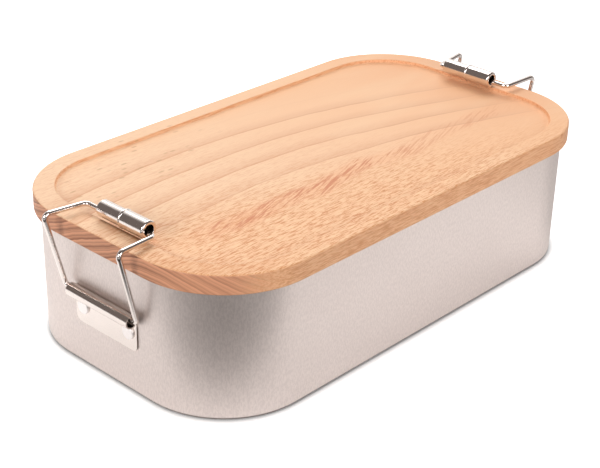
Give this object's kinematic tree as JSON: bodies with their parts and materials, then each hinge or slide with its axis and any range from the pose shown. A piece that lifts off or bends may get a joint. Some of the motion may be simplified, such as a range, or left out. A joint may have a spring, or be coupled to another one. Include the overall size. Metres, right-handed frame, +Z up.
{
  "type": "lunch box",
  "caption": "Low metal tub with round corners and a wooden lid with a recessed top, held down at each end by a hinged wire clasp whose roller drops behind the lid's rim.",
  "frame": {"origin": "under the middle of the tub, on the surface it stands on", "axes": "+X along the length to the right-hand clasp, -Y to the front, +Z up out of the lid"},
  "size_m": [0.241, 0.125, 0.0674],
  "materials": {
    "tub": "satin",
    "lid": "oiled beech, grain along X",
    "clasp_plate": "nickel plate, satin",
    "rivet": "plain",
    "clasp_wire": "nickel plate, polished",
    "roller": "nickel plate, polished"
  },
  "bodies": {
    "tub": {"tub": "tub", "left_hinge_plate": "clasp_plate", "left_rivets": "rivet", "right_hinge_plate": "clasp_plate", "right_rivets": "rivet"},
    "lid": {"lid_board": "lid"},
    "left_bail": {"left_bail": "clasp_wire"},
    "left_roller": {"left_roller_inner_sleeve": "roller", "left_roller_outer_sleeve": "roller"},
    "right_bail": {"right_bail": "clasp_wire"},
    "right_roller": {"right_roller_inner_sleeve": "roller", "right_roller_outer_sleeve": "roller"}
  },
  "joints": [
    {"name": "lid_lift", "type": "slide", "parent": "tub", "child": "lid", "axis": [0, 0, 1], "range_m": [0, 0.12]},
    {"name": "left_clasp_swing", "type": "hinge", "parent": "tub", "child": "left_bail", "pos_m": [-0.1125, 0, 0.033], "axis": [0, -1, 0], "range_deg": [0, 150]},
    {"name": "left_roller_spin", "type": "hinge", "parent": "left_bail", "child": "left_roller", "pos_m": [-0.10178, 0, 0.06368], "axis": [0, -1, 0], "continuous": true},
    {"name": "right_clasp_swing", "type": "hinge", "parent": "tub", "child": "right_bail", "pos_m": [0.1125, 0, 0.033], "axis": [0, 1, 0], "range_deg": [0, 150]},
    {"name": "right_roller_spin", "type": "hinge", "parent": "right_bail", "child": "right_roller", "pos_m": [0.10178, 0, 0.06368], "axis": [0, 1, 0], "continuous": true}
  ]
}
